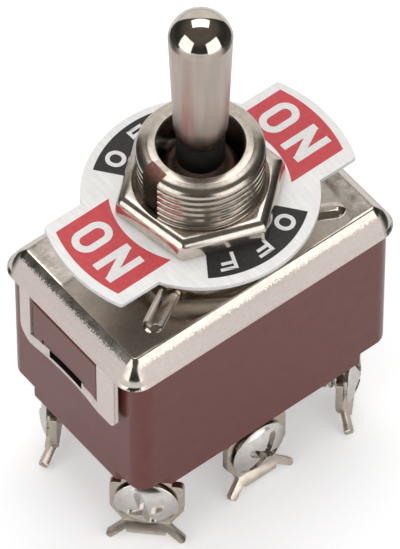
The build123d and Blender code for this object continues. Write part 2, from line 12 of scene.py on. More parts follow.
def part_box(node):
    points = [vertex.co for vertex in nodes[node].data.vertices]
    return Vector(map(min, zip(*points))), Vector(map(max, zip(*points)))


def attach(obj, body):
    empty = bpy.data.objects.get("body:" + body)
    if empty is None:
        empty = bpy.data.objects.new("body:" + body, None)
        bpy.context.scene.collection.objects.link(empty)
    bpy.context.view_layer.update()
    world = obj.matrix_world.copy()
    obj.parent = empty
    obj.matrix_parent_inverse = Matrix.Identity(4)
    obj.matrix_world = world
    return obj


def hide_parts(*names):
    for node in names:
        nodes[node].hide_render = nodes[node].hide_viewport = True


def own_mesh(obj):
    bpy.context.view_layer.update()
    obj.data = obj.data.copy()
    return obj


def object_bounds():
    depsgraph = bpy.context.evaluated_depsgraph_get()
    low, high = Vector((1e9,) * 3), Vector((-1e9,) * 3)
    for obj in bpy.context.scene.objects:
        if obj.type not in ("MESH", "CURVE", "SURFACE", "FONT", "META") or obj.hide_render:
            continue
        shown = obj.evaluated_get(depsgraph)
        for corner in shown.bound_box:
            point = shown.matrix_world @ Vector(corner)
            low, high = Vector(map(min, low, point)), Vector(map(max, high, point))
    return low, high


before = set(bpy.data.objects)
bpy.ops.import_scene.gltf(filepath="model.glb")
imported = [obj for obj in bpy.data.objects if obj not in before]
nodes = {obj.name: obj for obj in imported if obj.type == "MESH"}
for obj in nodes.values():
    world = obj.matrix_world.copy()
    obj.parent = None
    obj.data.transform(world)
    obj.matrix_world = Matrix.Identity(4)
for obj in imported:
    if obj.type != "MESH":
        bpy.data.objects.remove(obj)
cad_low, cad_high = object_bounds()

# ---------- sizes that several pieces share, in mm ----------

MM = 0.001
PIVOT_HEIGHT = 7.8
THREAD_RADIUS = 5.95
THREAD_ROOT = 5.66
THREAD_PITCH = 0.794
NUT_FLATS = 14.3
AXIS_RADIUS = 0.0004  # the ring that closes a turned piece at its axis


def node_top(name):
    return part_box(name)[1].z / MM


def node_bottom(name):
    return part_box(name)[0].z / MM


# ---------- shader steps ----------

def linear(red, green, blue):
    """A colour given as it looks, 0 to 255, in linear light."""
    shown = [c / 255 for c in (red, green, blue)]
    return tuple(c / 12.92 if c <= 0.04045 else ((c + 0.055) / 1.055) ** 2.4 for c in shown)


def blank_material(name, roughness, metallic=0.0):
    mat = bpy.data.materials.new(name)
    mat.use_nodes = True
    shader = mat.node_tree.nodes["Principled BSDF"]
    shader.inputs["Roughness"].default_value = roughness
    shader.inputs["Metallic"].default_value = metallic
    return mat, mat.node_tree.nodes, mat.node_tree.links, shader


def noise(n, l, scale, detail, stretch=(1, 1, 1)):
    """Grain in the piece's own coordinates; a stretch below 1 draws it out along that axis."""
    place = n.new("ShaderNodeTexCoord")
    spread = n.new("ShaderNodeMapping")
    spread.inputs["Scale"].default_value = stretch
    grain = n.new("ShaderNodeTexNoise")
    grain.inputs["Scale"].default_value = scale
    grain.inputs["Detail"].default_value = detail
    l.new(place.outputs["Object"], spread.inputs["Vector"])
    l.new(spread.outputs["Vector"], grain.inputs["Vector"])
    return grain.outputs["Fac"]


def ramp(n, l, value, low, high):
    """Spreads a grain over the colours from low to high."""
    band = n.new("ShaderNodeValToRGB")
    for stop, position, colour in zip(band.color_ramp.elements, (0.3, 0.7), (low, high)):
        stop.position = position
        stop.color = (*colour, 1)
    l.new(value, band.inputs["Fac"])
    return band.outputs["Color"]


def bump(n, l, shader, value, depth, before=None):
    """Raises the surface by up to depth, in metres, on top of the bump before it."""
    rise = n.new("ShaderNodeBump")
    rise.inputs["Strength"].default_value = 1.0
    rise.inputs["Distance"].default_value = depth
    l.new(value, rise.inputs["Height"])
    if before is not None:
        l.new(before, rise.inputs["Normal"])
    l.new(rise.outputs["Normal"], shader.inputs["Normal"])
    return rise.outputs["Normal"]


def reach_along(n, l, place, direction, scale=1.0):
    """Distance along a direction, scaled."""
    dot = n.new("ShaderNodeVectorMath")
    dot.operation = "DOT_PRODUCT"
    dot.inputs[1].default_value = direction
    l.new(place, dot.inputs[0])
    return math_node(n, l, "MULTIPLY", dot.outputs["Value"], scale)


def math_node(n, l, operation, first, second=None):
    step = n.new("ShaderNodeMath")
    step.operation = operation
    for socket, value in zip(step.inputs, (first, second)):
        if isinstance(value, (int, float)):
            socket.default_value = value
        elif value is not None:
            l.new(value, socket)
    return step.outputs["Value"]


def between(n, l, value, low, high):
    """0 below low, 1 above high, with a soft step between."""
    step = n.new("ShaderNodeMapRange")
    step.interpolation_type = "SMOOTHSTEP"
    step.inputs["From Min"].default_value = low
    step.inputs["From Max"].default_value = high
    l.new(value, step.inputs["Value"])
    return step.outputs["Result"]


def blend(n, l, factor, first, second):
    """Colour that goes from first to second as factor goes from 0 to 1."""
    mix = n.new("ShaderNodeMix")
    mix.data_type = "RGBA"
    for name, value in (("Factor", factor), ("A", first), ("B", second)):
        if isinstance(value, tuple):
            mix.inputs[name].default_value = (*value, 1)
        else:
            l.new(value, mix.inputs[name])
    return mix.outputs["Result"]


# ---------- finishes ----------

def plated(name, low, high, gloss, grain, depth, stretch=(1, 1, 1)):
    """Bright metal: slight changes of tint and gloss over a fine grain."""
    mat, n, l, shader = blank_material(name, gloss[0], 1.0)
    l.new(ramp(n, l, noise(n, l, grain, 4, stretch), low, high), shader.inputs["Base Color"])
    rough = ramp(n, l, noise(n, l, grain * 0.3, 3), (gloss[0],) * 3, (gloss[1],) * 3)
    l.new(rough, shader.inputs["Roughness"])
    bump(n, l, shader, noise(n, l, grain, 5, stretch), depth)
    return mat


def moulded(name, low, high, roughness, grain, depth):
    """Plastic, rubber or ink: a faint mottle and the skin of the mould."""
    mat, n, l, shader = blank_material(name, roughness)
    shader.inputs["Specular IOR Level"].default_value = 0.36
    l.new(ramp(n, l, noise(n, l, grain, 5), low, high), shader.inputs["Base Color"])
    bump(n, l, shader, noise(n, l, grain * 3, 3), depth)
    return mat


NICKEL_DARK, NICKEL_LIGHT = linear(205, 196, 186), linear(222, 214, 205)


def pressed_nickel():
    """Polished on top and at the corners, pale satin down the sides, speckled where the two meet."""
    mat, n, l, shader = blank_material("pressed_nickel", 0.12)
    place = n.new("ShaderNodeTexCoord").outputs["Object"]
    speckle = math_node(n, l, "SUBTRACT", noise(n, l, 7000, 4), 0.5)
    speckle = math_node(n, l, "MULTIPLY", speckle, 1.0 * MM)
    height = math_node(n, l, "ADD", reach_along(n, l, place, (0, 0, 1)), speckle)
    along = math_node(n, l, "ABSOLUTE", reach_along(n, l, place, (1, 0, 0)))
    across = math_node(n, l, "ABSOLUTE", reach_along(n, l, place, (0, 1, 0)))
    near_top = between(n, l, height, -0.82 * MM, -0.52 * MM)
    near_end = between(n, l, along, 13.7 * MM, 14.5 * MM)
    near_side = between(n, l, across, 7.7 * MM, 8.5 * MM)
    polish = math_node(n, l, "MAXIMUM", near_top, math_node(n, l, "MULTIPLY", near_end, near_side))
    bright = ramp(n, l, noise(n, l, 2200, 4), NICKEL_DARK, NICKEL_LIGHT)
    satin = ramp(n, l, noise(n, l, 3000, 4), linear(210, 197, 191), linear(219, 207, 201))
    l.new(blend(n, l, polish, satin, bright), shader.inputs["Base Color"])
    gloss = ramp(n, l, noise(n, l, 700, 3), (0.10,) * 3, (0.17,) * 3)
    l.new(blend(n, l, polish, (0.48,) * 3, gloss), shader.inputs["Roughness"])
    metal = n.new("ShaderNodeMapRange")
    metal.inputs["To Min"].default_value = 0.3
    metal.inputs["To Max"].default_value = 1.0
    l.new(polish, metal.inputs["Value"])
    l.new(metal.outputs["Result"], shader.inputs["Metallic"])
    fine = bump(n, l, shader, noise(n, l, 2600, 5), 1.2e-6)
    bump(n, l, shader, noise(n, l, 150, 2), 1.2e-5, fine)
    return mat


def barrel_satin():
    """Satin nickel drawn along the lever, with painted shade that makes it warmer and darker towards its
    foot.
    """
    grain, drawn = 900, (1, 1, 0.08)
    upper_dark, upper_light = linear(182, 170, 160), linear(200, 188, 178)
    shaded_foot_dark, shaded_foot_light = linear(156, 139, 130), linear(172, 156, 146)
    mat = plated("satin_lever_nickel", upper_dark, upper_light, gloss=(0.24, 0.34), grain=grain,
                 depth=2e-6, stretch=drawn)
    n, l = mat.node_tree.nodes, mat.node_tree.links
    height = reach_along(n, l, n.new("ShaderNodeTexCoord").outputs["Object"], (0, 0, 1))
    upper = ramp(n, l, noise(n, l, grain, 4, drawn), upper_dark, upper_light)
    shaded_foot = ramp(n, l, noise(n, l, grain, 4, drawn), shaded_foot_dark, shaded_foot_light)
    # Painted shade: the colour blends from the darker, warmer foot up to the lighter upper barrel.
    tint = blend(n, l, between(n, l, height, 14.5 * MM, 22.5 * MM), shaded_foot, upper)
    l.new(tint, n["Principled BSDF"].inputs["Base Color"])
    return mat


cover_nickel = pressed_nickel()
lever_satin = barrel_satin()
lever_polish = plated("polished_lever_nickel", NICKEL_DARK, NICKEL_LIGHT,
                      gloss=(0.07, 0.1), grain=1500, depth=4e-7)
turned_nickel = plated("turned_nickel", linear(196, 186, 175), linear(214, 205, 195),
                       gloss=(0.2, 0.27), grain=1800, depth=1e-6)
nut_nickel = plated("tumbled_nickel", NICKEL_DARK, NICKEL_LIGHT,
                    gloss=(0.17, 0.24), grain=1800, depth=1.5e-6)
terminal_plating = plated("terminal_plating", linear(200, 187, 174), linear(220, 208, 196),
                          gloss=(0.18, 0.3), grain=1500, depth=2e-6)
screw_plating = plated("screw_plating", linear(212, 206, 200), linear(230, 225, 220),
                       gloss=(0.12, 0.2), grain=1500, depth=1.5e-6)
bare_aluminium = plated("matt_aluminium", linear(222, 220, 219), linear(232, 230, 229),
                        gloss=(0.38, 0.5), grain=3000, depth=1.5e-6)
# Painted sheen: a near-white, barely metallic colour for the plate's upward face, standing for the bright
# light the satin aluminium reflects.
sheen_painted_aluminium = plated("sheen_painted_face", linear(240, 238, 236), linear(252, 250, 248),
                         gloss=(0.42, 0.55), grain=3000, depth=1.5e-6, stretch=(1, 0.15, 1))
sheen_painted_aluminium.node_tree.nodes["Principled BSDF"].inputs["Metallic"].default_value = 0.12
spring_wire = plated("spring_wire", (0.42, 0.42, 0.42), (0.55, 0.55, 0.54),
                     gloss=(0.25, 0.35), grain=2500, depth=1e-6)
copper = plated("contact_copper", (0.62, 0.32, 0.20), (0.72, 0.40, 0.26),
                gloss=(0.28, 0.4), grain=1200, depth=2e-6)
silver = plated("contact_silver", (0.80, 0.79, 0.76), (0.88, 0.87, 0.85),
                gloss=(0.25, 0.35), grain=1200, depth=2e-6)
phenolic = moulded("red_brown_phenolic", linear(96, 47, 43), linear(102, 52, 48),
                   roughness=0.2, grain=700, depth=6e-7)
# Painted shade: a near-black copy of the phenolic, laid on the faces of the catch notches so they read dark.
painted_shade_phenolic = moulded("painted_shade_phenolic", linear(34, 18, 15), linear(40, 22, 19),
                          roughness=0.6, grain=700, depth=6e-7)
seal_rubber = moulded("black_seal_rubber", (0.010, 0.009, 0.008), (0.02, 0.018, 0.016),
                      roughness=0.45, grain=1500, depth=2e-6)
nylon = moulded("natural_nylon", (0.52, 0.50, 0.44), (0.60, 0.58, 0.52),
                roughness=0.4, grain=900, depth=2e-6)
acetal = moulded("white_acetal", (0.66, 0.65, 0.62), (0.74, 0.73, 0.70),
                 roughness=0.35, grain=900, depth=2e-6)
red_ink = moulded("red_ink", linear(205, 70, 76), linear(214, 82, 88),
                  roughness=0.5, grain=2500, depth=1e-6)
black_ink = moulded("black_ink", linear(38, 35, 35), linear(52, 48, 48),
                    roughness=0.45, grain=2500, depth=1e-6)
white_ink = moulded("white_ink", linear(236, 233, 230), linear(244, 242, 240),
                    roughness=0.5, grain=2500, depth=1e-6)

NODE_FINISH = {
    "housing": phenolic, "cover": cover_nickel, "bushing": turned_nickel, "back_nut": turned_nickel,
    "lock_washer": terminal_plating, "indicator_plate": bare_aluminium, "panel_nut": nut_nickel,
    "lever_pin": spring_wire, "lever": lever_satin, "neck_seal": seal_rubber, "driver": nylon,
    "plunger_spring": spring_wire, "plunger": acetal, "rocker": copper, "moving_contacts": silver,
    "fixed_contacts": silver, "terminal": terminal_plating, "screw": screw_plating,
}
for node_name, node in nodes.items():
    node.data.materials.clear()
    node.data.materials.append(next(m for start, m in NODE_FINISH.items() if node_name.startswith(start)))


# ---------- modelling helpers ----------

def deselect():
    if bpy.context.object and bpy.context.object.mode != "OBJECT":
        bpy.ops.object.mode_set(mode="OBJECT")
    bpy.ops.object.select_all(action="DESELECT")


def pick(piece):
    deselect()
    piece.select_set(True)
    bpy.context.view_layer.objects.active = piece


def discard(piece):
    pick(piece)
    bpy.ops.object.delete()


def settle(piece, degrees=35):
    """Puts a piece's place into its mesh, merges doubles and shades it smooth up to an angle."""
    pick(piece)
    bpy.ops.object.transform_apply(location=True, rotation=True, scale=True)
    bpy.ops.object.mode_set(mode="EDIT")
    bpy.ops.mesh.select_all(action="SELECT")
    bpy.ops.mesh.remove_doubles(threshold=1e-6)
    bpy.ops.mesh.normals_make_consistent(inside=False)
    bpy.ops.object.mode_set(mode="OBJECT")
    bpy.ops.object.shade_smooth_by_angle(angle=math.radians(degrees))


def turned(name, outline, sides=96):
    """Body of revolution about Z: a circle extruded and resized along an outline of (r, z)."""
    deselect()
    radius, height = outline[0]
    bpy.ops.mesh.primitive_circle_add(vertices=sides, radius=radius * MM, location=(0, 0, height * MM))
    piece = bpy.context.object
    piece.name = name
    bpy.ops.object.transform_apply(location=True)
    bpy.ops.object.mode_set(mode="EDIT")
    bpy.ops.mesh.select_all(action="SELECT")
    for new_radius, new_height in outline[1:]:
        rise = (new_height - height) * MM
        bpy.ops.mesh.extrude_region_move(TRANSFORM_OT_translate={"value": (0, 0, rise)})
        if new_radius != radius:
            share = new_radius / radius
            bpy.ops.transform.resize(value=(share, share, 1), center_override=(0, 0, new_height * MM))
        radius, height = new_radius, new_height
    bpy.ops.object.mode_set(mode="OBJECT")
    return piece


def arc(centre, radius, start, end, steps):
    """Points of (r, z) along an arc, angles in degrees from the outward direction."""
    turns = [math.radians(start + (end - start) * i / steps) for i in range(steps + 1)]
    return [(centre[0] + radius * math.cos(t), centre[1] + radius * math.sin(t)) for t in turns]


def combine(piece, tool, operation="DIFFERENCE"):
    """Cuts, joins or limits a piece with a tool, which is used up."""
    pick(piece)
    cut = piece.modifiers.new("cut", "BOOLEAN")
    cut.operation = operation
    cut.solver = "EXACT"
    cut.object = tool
    bpy.ops.object.modifier_apply(modifier="cut")
    discard(tool)


def bar(size, centre, turn=0.0):
    """Plain cutting bar, turned about Z in degrees."""
    deselect()
    bpy.ops.mesh.primitive_cube_add(size=1, location=[c * MM for c in centre],
                                    rotation=(0, 0, math.radians(turn)))
    tool = bpy.context.object
    tool.scale = [s * MM for s in size]
    bpy.ops.object.transform_apply(location=True, rotation=True, scale=True)
    return tool


def pivot_rod(radius, length):
    """Cutting rod along the lever's pin."""
    deselect()
    bpy.ops.mesh.primitive_cylinder_add(vertices=48, radius=radius * MM, depth=length * MM,
                                        location=(0, 0, PIVOT_HEIGHT * MM), rotation=(math.radians(90), 0, 0))
    tool = bpy.context.object
    bpy.ops.object.transform_apply(location=True, rotation=True)
    return tool


def bevelled(piece, width, degrees=45, segments=2):
    """Rounds the edges that are sharper than an angle."""
    pick(piece)
    soften = piece.modifiers.new("soften", "BEVEL")
    soften.width = width * MM
    soften.segments = segments
    soften.limit_method = "ANGLE"
    soften.angle_limit = math.radians(degrees)
    bpy.ops.object.modifier_apply(modifier="soften")


def weigh_edges(piece, share):
    """Gives each edge its share of the next weighted bevel."""
    weight = piece.data.attributes.get("bevel_weight_edge")
    if weight is None:
        weight = piece.data.attributes.new("bevel_weight_edge", "FLOAT", "EDGE")
    for edge in piece.data.edges:
        start, end = (piece.data.vertices[v].co for v in edge.vertices)
        weight.data[edge.index].value = share(start, end)


def weighted_bevel(piece, width, segments):
    pick(piece)
    soften = piece.modifiers.new("soften", "BEVEL")
    soften.width = width * MM
    soften.segments = segments
    soften.limit_method = "WEIGHT"
    bpy.ops.object.modifier_apply(modifier="soften")


def even_shading(piece):
    """Lets the large flat faces keep their own normals where small rounded ones meet them."""
    pick(piece)
    even = piece.modifiers.new("even", "WEIGHTED_NORMAL")
    even.weight = 100
    even.keep_sharp = True
    bpy.ops.object.modifier_apply(modifier="even")


def rounded_tile(name, length, width, low, high, corner, segments=6):
    """A flat tile with rounded corners, centred on the axis."""
    tile = bar((length, width, high - low), (0, 0, (low + high) / 2))
    tile.name = name
    weigh_edges(tile, lambda start, end: 1.0 if abs(start.z - end.z) > 1e-6 else 0.0)
    weighted_bevel(tile, corner, segments)
    return tile


def lay(piece, turn, place):
    """Turns a piece about Z and moves it to (x, y)."""
    pick(piece)
    piece.rotation_euler = (0, 0, math.radians(turn))
    piece.location = (place[0] * MM, place[1] * MM, 0)
    bpy.ops.object.transform_apply(location=True, rotation=True)


def join(name, pieces):
    deselect()
    for piece in pieces:
        piece.select_set(True)
    bpy.context.view_layer.objects.active = pieces[0]
    bpy.ops.object.join()
    pieces[0].name = name
    return pieces[0]


def paint(piece, *finishes):
    piece.data.materials.clear()
    for finish in finishes:
        piece.data.materials.append(finish)


def dressed_copy(node_name, width=0.001, degrees=170, segments=1, flat=0.05):
    """A merged copy of a CAD node, with edges sharper than an angle rounded."""
    deselect()
    piece = nodes[node_name].copy()
    piece.data = nodes[node_name].data.copy()
    piece.name = node_name + "_finished"
    piece.parent = None
    bpy.context.scene.collection.objects.link(piece)
    pick(piece)
    bpy.ops.object.mode_set(mode="EDIT")
    bpy.ops.mesh.select_all(action="SELECT")
    bpy.ops.mesh.remove_doubles(threshold=2e-6)
    bpy.ops.mesh.dissolve_limited(angle_limit=math.radians(flat))
    bpy.ops.object.mode_set(mode="OBJECT")
    bevelled(piece, width, degrees, segments)
    bpy.ops.object.shade_smooth_by_angle(angle=math.radians(30))
    return piece


def dress(node_name, finish, width, degrees=45, segments=2):
    """Puts a finished copy in the place of a fixed CAD node."""
    piece = dressed_copy(node_name, width, degrees, segments, 1.0)
    paint(piece, finish)
    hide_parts(node_name)
    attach(piece, "base")
    return piece


def helix_cutter(name, outer, root, pitch, low, high, sides=72):
    """Closed V-shaped coil that cuts a thread with eased crests between two heights."""
    depth = outer - root
    flank = [(outer + 0.3, 0.34), (outer + 0.01, 0.30), (outer - 0.15 * depth, 0.23),
             (outer - 0.45 * depth, 0.15), (root, 0.05)]
    profile = [(radius, -share * pitch) for radius, share in flank]
    profile += [(radius, share * pitch) for radius, share in reversed(flank)]
    deselect()
    bpy.ops.mesh.primitive_circle_add(vertices=len(profile), radius=MM, fill_type="NOTHING")
    coil = bpy.context.object
    coil.name = name
    for vertex, (radius, height) in zip(coil.data.vertices, profile):
        vertex.co = (radius * MM, 0, (low + height) * MM)
    sweep = coil.modifiers.new("sweep", "SCREW")
    sweep.angle = math.radians(360)
    sweep.screw_offset = pitch * MM
    sweep.iterations = math.ceil((high - low) / pitch)
    sweep.steps = sides
    sweep.render_steps = sides
    bpy.ops.object.modifier_apply(modifier="sweep")
    bpy.ops.object.mode_set(mode="EDIT")
    bpy.ops.mesh.select_all(action="DESELECT")
    bpy.ops.mesh.select_non_manifold()
    bpy.ops.mesh.fill_holes(sides=2 * len(profile))
    bpy.ops.mesh.select_all(action="SELECT")
    bpy.ops.mesh.normals_make_consistent(inside=False)
    bpy.ops.object.mode_set(mode="OBJECT")
    return coil


# ---------- bushing and panel nut ----------

def threaded_bushing():
    """Keyed bushing with its real thread above the nut, a bright bevelled rim and its pin's groove."""
    foot, top = node_bottom("bushing"), node_top("bushing")
    bore, spigot, lip, collar, neck = 4.02, 5.45, 6.6, 6.75, 5.6
    lip_top, collar_top, chamfer, thread_foot = foot + 0.8, 1.5, 0.1, 7.0
    rim_foot, rim_centre, rim_width, rim_rise = top - 0.95, 4.78, 1.17, 0.87
    outline = [(bore, foot), (lip, foot), (lip, lip_top), (spigot, lip_top), (spigot, 0)]
    outline += [(collar - chamfer, 0), (collar, chamfer), (collar, collar_top - chamfer)]
    outline += [(collar - chamfer, collar_top), (neck, collar_top), (neck, thread_foot)]
    outline += [(THREAD_RADIUS, thread_foot), (THREAD_RADIUS, rim_foot)]
    outline += [(rim_centre + rim_width * math.cos(math.radians(a)),
                 rim_foot + rim_rise * math.sin(math.radians(a))) for a in range(10, 76, 8)]
    outline += [(4.86, top - 0.03), (4.76, top), (4.16, top), (bore, top - 0.14), (bore, foot)]
    piece = turned("threaded_bushing", outline, 128)
    settle(piece)
    thread = helix_cutter("thread_cutter", THREAD_RADIUS, THREAD_ROOT, THREAD_PITCH, low=6.3, high=11.7)
    combine(piece, thread)
    keyway = bar((3, 2.1, 14), (-6.2, 0, 8.5))
    combine(piece, keyway)
    pin_length, groove_foot = 9.8, foot - 0.5
    combine(piece, pivot_rod(1.0, pin_length))
    groove = bar((2, pin_length, PIVOT_HEIGHT - groove_foot), (0, 0, (PIVOT_HEIGHT + groove_foot) / 2))
    combine(piece, groove)
    settle(piece, 30)
    paint(piece, turned_nickel)
    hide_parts("bushing")
    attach(piece, "base")


def pillow_nut(node_name, turn, bore, sink):
    """Hexagon nut whose top edges are rounded along its flats, with a countersunk bore."""
    low, high = node_bottom(node_name), node_top(node_name)
    top_level, foot_level = (high - 0.01) * MM, (low + 0.01) * MM
    top_share, corner_share, foot_share = 1.0, 0.35, 0.14
    draw, rounding = 0.975, 0.98
    deselect()
    bpy.ops.mesh.primitive_cylinder_add(vertices=6, radius=NUT_FLATS / math.sqrt(3) * MM,
                                        depth=(high - low) * MM, location=(0, 0, (low + high) / 2 * MM),
                                        rotation=(0, 0, math.radians(turn)))
    piece = bpy.context.object
    piece.name = node_name + "_pillowed"
    bpy.ops.object.transform_apply(location=True, rotation=True)
    for vertex in piece.data.vertices:
        if vertex.co.z > top_level:
            vertex.co.x *= draw
            vertex.co.y *= draw

    def share(start, end):
        if min(start.z, end.z) > top_level:
            return top_share
        return foot_share if max(start.z, end.z) < foot_level else corner_share

    weigh_edges(piece, share)
    weighted_bevel(piece, rounding, 10)
    outline = [(bore, low - 1), (bore, high - (sink - bore) * 0.7), (sink, high), (sink, high + 1),
               (0.01, high + 1), (0.01, low - 1), (bore, low - 1)]
    countersink = turned("nut_bore", outline, 128)
    settle(countersink)
    combine(piece, countersink)
    settle(piece, 24)
    paint(piece, nut_nickel)
    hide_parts(node_name)
    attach(piece, "base")


# ---------- printed plate ----------

INK = 0.02  # thickness of a layer
PRINT_SHIFT, PRINT_TURN = (0.05, 0.13), 0.6
RED_INNER, RED_OUTER, RED_WIDTH = 8.4, 13.95, 9.05
BLACK_INNER, BLACK_OUTER, BLACK_HALF_ANGLE, BLACK_TURN = 7.1, 10.1, 36, 1.0
ON_RADIUS, OFF_RADIUS = 11.0, 8.55
# Height, width and stroke of each letter, and an O's outer corner
ON_O, ON_N = (4.05, 2.65, 0.72, 1.3), (4.0, 2.6, 0.74)
OFF_O, OFF_F = (1.95, 1.85, 0.42, 0.9), (1.95, 1.65, 0.34)
O_ASIDE, N_ASIDE = 2.0, -1.82
OFF_SPELLING = ((25.5, "o"), (1.2, "f"), (-22.5, "f"))  # degrees from the sector's middle


def letter_o(height, width, stroke, corner, low, high):
    """Letter lying on its side: its height along X and its width along Y."""
    letter = rounded_tile("letter_o", height, width, low, high, corner, 10)
    hole = rounded_tile("hole", height - 2 * stroke, width - 2 * stroke, low - 1, high + 1,
                        corner - stroke, 10)
    combine(letter, hole)
    return letter


def letter_n(height, width, stroke, low, high):
    middle, rise = (low + high) / 2, high - low
    letter = bar((height, stroke, rise), (0, (width - stroke) / 2, middle))
    other_leg = bar((height, stroke, rise), (0, (stroke - width) / 2, middle))
    slope_length = math.hypot(height - stroke, width - stroke) + stroke * 0.25
    slope_turn = math.degrees(math.atan2(width - stroke, height - stroke * 0.75))
    slope = bar((slope_length, stroke * 1.02, rise), (0, 0, middle), slope_turn)
    combine(slope, bar((height, width, 2), (0, 0, middle)), "INTERSECT")
    combine(letter, other_leg, "UNION")
    combine(letter, slope, "UNION")
    letter.name = "letter_n"
    return letter


def letter_f(height, width, stroke, low, high):
    middle, rise = (low + high) / 2, high - low
    short = width * 0.86
    letter = bar((height, stroke, rise), (0, (width - stroke) / 2, middle))
    combine(letter, bar((stroke, width, rise), ((height - stroke) / 2, 0, middle)), "UNION")
    combine(letter, bar((stroke, short, rise), (height * 0.09, (width - short) / 2, middle)), "UNION")
    letter.name = "letter_f"
    return letter


def ring_part(name, inner, outer, low, high, limit):
    """Slice of a thin ring, kept inside a tool."""
    piece = turned(name, [(inner, low), (outer, low), (outer, high), (inner, high), (inner, low)], 160)
    settle(piece)
    combine(piece, limit, "INTERSECT")
    return piece


def wedge(half_angle, reach):
    """Three-cornered block that spans a slice about +X."""
    deselect()
    bpy.ops.mesh.primitive_cylinder_add(vertices=3, radius=reach * MM, depth=0.03)
    tool = bpy.context.object
    half_width = reach * math.tan(math.radians(half_angle))
    corners = [(0.0, 0.0), (reach, half_width), (reach, -half_width)]
    for upper in (False, True):
        ring = [v for v in tool.data.vertices if (v.co.z > 0) == upper]
        ring.sort(key=lambda v: math.atan2(v.co.x, v.co.y))
        for vertex, corner in zip(ring, corners):
            vertex.co.x, vertex.co.y = corner[0] * MM, corner[1] * MM
    pick(tool)
    bpy.ops.object.mode_set(mode="EDIT")
    bpy.ops.mesh.select_all(action="SELECT")
    bpy.ops.mesh.normals_make_consistent(inside=False)
    bpy.ops.object.mode_set(mode="OBJECT")
    return tool


def printing():
    """Two red panels lettered ON and two black sectors lettered OFF, as thin layers of ink."""
    face = node_top("indicator_plate")
    ink_top, letter_foot, letter_top = face + INK, face + INK / 2, face + 2 * INK
    red, black, white = [], [], []
    for side in (-1, 1):
        limit = bar((14, RED_WIDTH, 2), (side * 8, 0, face))
        red.append(ring_part("red_panel", RED_INNER, RED_OUTER, face, ink_top, limit))
        on_letters = ((letter_o(*ON_O, letter_foot, letter_top), O_ASIDE),
                      (letter_n(*ON_N, letter_foot, letter_top), N_ASIDE))
        for letter, aside in on_letters:
            lay(letter, 0, (side * ON_RADIUS, aside))
            white.append(letter)
        limit = wedge(BLACK_HALF_ANGLE, 20)
        lay(limit, side * 90 + BLACK_TURN, (0, 0))
        black.append(ring_part("black_sector", BLACK_INNER, BLACK_OUTER, face, ink_top, limit))
        for step, kind in OFF_SPELLING:
            if kind == "o":
                letter = letter_o(*OFF_O, letter_foot, letter_top)
            else:
                letter = letter_f(*OFF_F, letter_foot, letter_top)
            outward = side * 90 + step
            turn = math.radians(outward)
            lay(letter, outward, (OFF_RADIUS * math.cos(turn), OFF_RADIUS * math.sin(turn)))
            white.append(letter)
    layers = (("red_panels", red, red_ink), ("black_sectors", black, black_ink),
              ("letters", white, white_ink))
    for name, group, ink in layers:
        piece = join(name, group)
        lay(piece, PRINT_TURN, PRINT_SHIFT)
        settle(piece)
        paint(piece, ink)
        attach(piece, "base")


def indicator_plate():
    """Bare aluminium plate whose upward face carries a painted sheen: the bright light it reflects, put into
    a near-white colour.
    """
    plate = dress("indicator_plate", bare_aluminium, width=0.05)
    plate.data.materials.append(sheen_painted_aluminium)
    # Painted sheen on the upward faces, bare aluminium on the edges.
    for face in plate.data.polygons:
        face.material_index = 1 if face.normal.z > 0.7 else 0


# ---------- lever and its springs ----------

def lever():
    """Turned lever with a satin barrel and a polished domed end."""
    foot, top = node_bottom("lever"), node_top("lever")
    peen, spigot, tail, ball, neck, barrel, dome = 1.75, 1.25, 1.7, 3.8, 1.75, 2.93, 2.96
    peen_top, tail_foot, shoulder_foot, satin_end = foot + 0.5, -3, 13.9, 21.8
    dome_centre = top - dome
    dome_start = math.degrees(math.acos(barrel / dome))
    ball_start = -math.degrees(math.acos(tail / ball))
    ball_end = math.degrees(math.acos(neck / ball))
    outline = [(AXIS_RADIUS, foot), (peen - 0.1, foot), (peen, foot + 0.1), (peen, peen_top)]
    outline += [(spigot, peen_top), (spigot, tail_foot), (tail, tail_foot)]
    outline += arc((0, PIVOT_HEIGHT), ball, ball_start, ball_end, 40)
    outline += [(neck, shoulder_foot), (2.1, shoulder_foot), (2.2, 14.05), (2.33, 14.5), (2.44, 15.0)]
    outline += [(2.5, 15.3), (2.55, 17), (barrel - 0.005, dome_centre + 0.34), (barrel, dome_centre + 0.4)]
    outline += arc((0, dome_centre), dome, dome_start, satin_end, 12)
    outline += arc((0, dome_centre), dome, satin_end, 89.9, 36)[1:]
    piece = turned("turned_lever", outline, 128)
    settle(piece, 30)
    combine(piece, pivot_rod(0.97, 9))
    settle(piece, 30)
    paint(piece, lever_satin, lever_polish)
    polish_height = dome_centre + dome * math.sin(math.radians(satin_end))
    for face in piece.data.polygons:
        face.material_index = 1 if face.center.z > polish_height * MM else 0
    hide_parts("lever")
    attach(piece, "lever_arm")


def shortening_springs():
    """Plunger springs: finished copies carried with the lever arm, each on a mesh of its own."""
    for pole, side in (("front", -1), ("rear", 1)):
        spring = dressed_copy(f"plunger_spring_{pole}")
        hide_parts(f"plunger_spring_{pole}")
        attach(spring, "lever_arm")
        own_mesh(spring)


# ---------- terminal screws ----------

SCREW_TURNS = {  # degrees, as each screw happened to be left
    "left_front": 20, "centre_front": -35, "left_rear": 50,
    "right_front": 10, "right_rear": -15, "centre_rear": 65,
}
OUTWARD = {"left": -1, "centre": 0, "right": 1, "front": -1, "rear": 1}
HEAD_HEIGHT = 1.1


